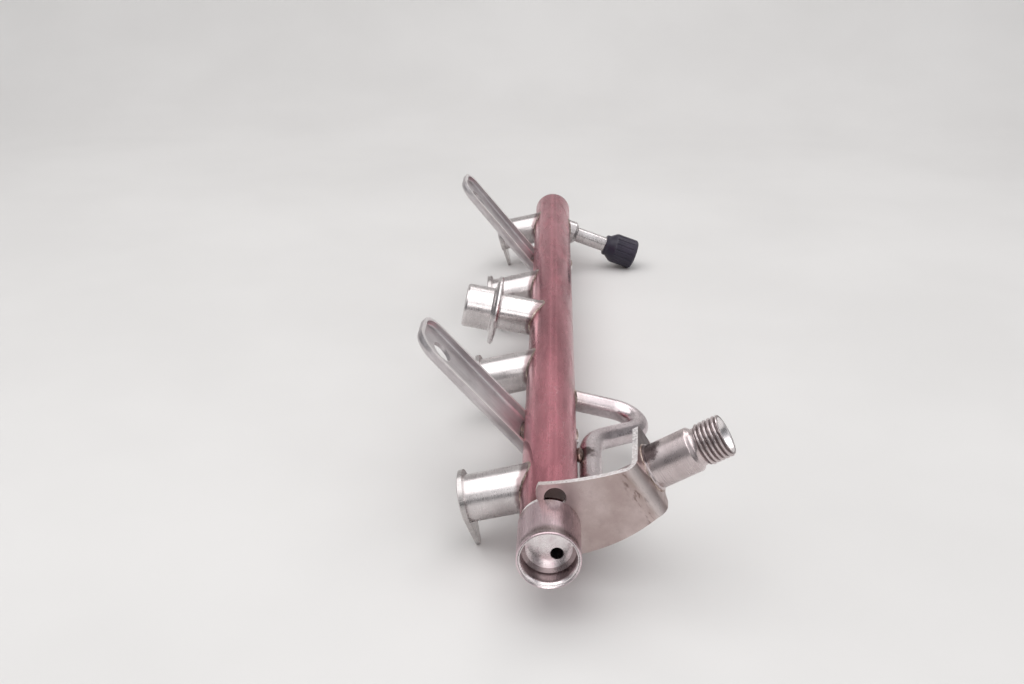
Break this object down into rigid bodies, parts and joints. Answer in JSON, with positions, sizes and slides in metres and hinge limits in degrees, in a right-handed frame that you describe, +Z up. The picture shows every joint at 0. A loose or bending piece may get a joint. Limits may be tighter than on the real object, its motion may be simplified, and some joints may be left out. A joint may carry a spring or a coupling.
{
  "type": "fuel rail",
  "caption": "Brazed steel fuel rail tube with injector sockets, pulsation damper, channel struts, bent inlet bracket with swan-neck feed pipe, and a capped test port.",
  "frame": {"origin": "centre of the regulator socket's mouth, on the gallery tube's axis", "axes": "+Y along the gallery tube away from the regulator socket, +Z up as the rail rests on a bench, +X towards the inlet fitting"},
  "size_m": [0.1049, 0.373, 0.0662],
  "materials": {
    "tube_steel": "satin plated steel with a dull brown-grey tint from brazing",
    "plated_steel": "satin nickel-bright steel with fine handling marks",
    "machined_steel": "turned steel with fine circular tool marks",
    "plate_steel": "pressed sheet steel with sheared bright edges and scuffed bends",
    "spring_steel": "plain wire",
    "valve_brass": "turned brass",
    "diaphragm_rubber": "matt black",
    "cap_plastic": "moulded blue-black plastic"
  },
  "bodies": {
    "root": {"damper_base": "plated_steel", "damper_cover": "plated_steel", "damper_diaphragm": "diaphragm_rubber", "damper_spring": "spring_steel", "damper_spring_seat": "plated_steel", "damper_stub": "plated_steel", "feed_pipe": "plated_steel", "injector_cup_1": "plated_steel", "injector_cup_2": "plated_steel", "injector_cup_3": "plated_steel", "injector_cup_4": "plated_steel", "injector_flange_1": "plated_steel", "injector_flange_2": "plated_steel", "injector_flange_3": "plated_steel", "injector_flange_4": "plated_steel", "inlet_bracket": "plate_steel", "inlet_fitting": "machined_steel", "rail_end_cap": "tube_steel", "rail_tube": "tube_steel", "regulator_socket": "machined_steel", "strut_front": "plate_steel", "strut_rear": "plate_steel", "test_cap_seal": "diaphragm_rubber", "test_port_body": "plated_steel", "test_port_cap": "cap_plastic", "test_valve_core": "valve_brass"}
  },
  "joints": []
}
